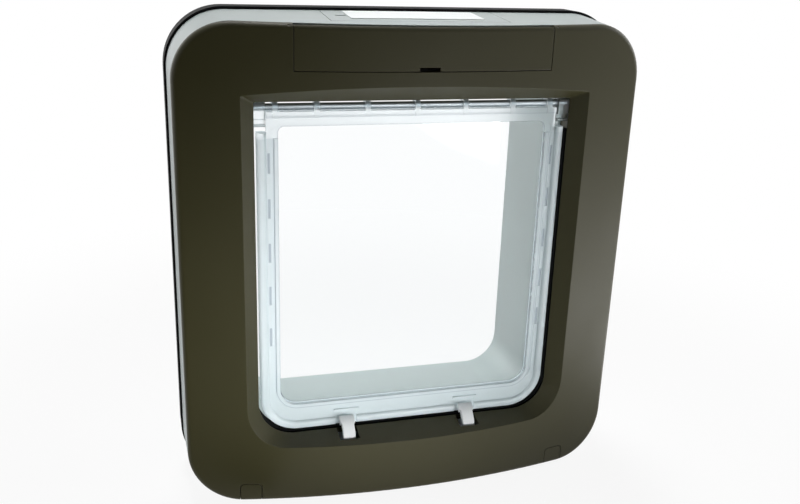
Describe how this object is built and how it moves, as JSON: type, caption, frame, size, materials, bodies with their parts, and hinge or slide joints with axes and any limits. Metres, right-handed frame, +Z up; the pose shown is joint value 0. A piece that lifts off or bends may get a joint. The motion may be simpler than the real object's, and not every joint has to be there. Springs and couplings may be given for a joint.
{
  "type": "cat flap",
  "caption": "Upright pet door with a bowed frame, a sloped recess, a clear top-hung flap held by powered latches, a battery lid and a short tunnel behind an outer frame.",
  "frame": {"origin": "under the middle of the part's box, on the plane it stands on", "axes": "+X to the right as seen from indoors, +Y through the door to the outside, +Z up; the bowed face looks along -Y"},
  "size_m": [0.214, 0.0844, 0.2251],
  "materials": {
    "fascia": "satin",
    "shell": "satin",
    "frame": "matte",
    "clear": "clear",
    "white": "satin",
    "steel": "bright",
    "motor": "satin",
    "pinion": "satin",
    "inner": "matte",
    "cell": "satin",
    "contact": "bright",
    "board": "satin",
    "coil": "satin",
    "label": "matte",
    "button": "satin"
  },
  "bodies": {
    "housing": {"front_cover": "fascia", "screw_plug_left": "fascia", "screw_plug_right": "fascia", "body_shell": "shell", "top_hatch": "shell", "tunnel_liner": "shell", "outer_frame": "frame", "hinge_clip_left": "clear", "hinge_clip_right": "clear", "hinge_rod": "steel", "fixing_screws": "steel", "cover_screws": "steel", "latch_motor": "motor", "mechanism_bracket": "inner", "battery_tray": "inner", "button_switch": "inner", "battery_1": "cell", "battery_2": "cell", "battery_3": "cell", "battery_4": "cell", "battery_contacts": "contact", "circuit_board": "board", "antenna_coil": "coil", "hatch_label": "label"},
    "flap": {"flap_panel": "clear"},
    "latch_bar": {"latch_left": "white", "latch_right": "white", "latch_shaft": "steel", "sector_gear": "white"},
    "drive_pinion": {"motor_pinion": "pinion"},
    "battery_lid": {"battery_cover": "fascia"},
    "button": {"setup_button": "button"}
  },
  "joints": [
    {"name": "flap_hinge", "type": "hinge", "parent": "housing", "child": "flap", "pos_m": [0, -0.02425, 0.1857], "axis": [1, 0, 0], "range_deg": [0, 80]},
    {"name": "latch_turn", "type": "hinge", "parent": "housing", "child": "latch_bar", "pos_m": [0, -0.02306, 0.02332], "axis": [1, 0, 0], "range_deg": [0, 56]},
    {"name": "pinion_turn", "type": "hinge", "parent": "housing", "child": "drive_pinion", "pos_m": [0.0446, -0.02567, 0.00855], "axis": [1, 0, 0], "range_deg": [-168, 0]},
    {"name": "battery_lid_hinge", "type": "hinge", "parent": "housing", "child": "battery_lid", "pos_m": [0, -0.03698, 0.2202], "axis": [-1, 0, 0], "range_deg": [0, 52]},
    {"name": "button_press", "type": "slide", "parent": "housing", "child": "button", "axis": [0, 1, 0], "range_m": [0, 0.0015], "stiffness_N_per_m": 200}
  ],
  "couplings": [
    {"joint": "pinion_turn", "follows": "latch_turn", "ratio": -3}
  ]
}
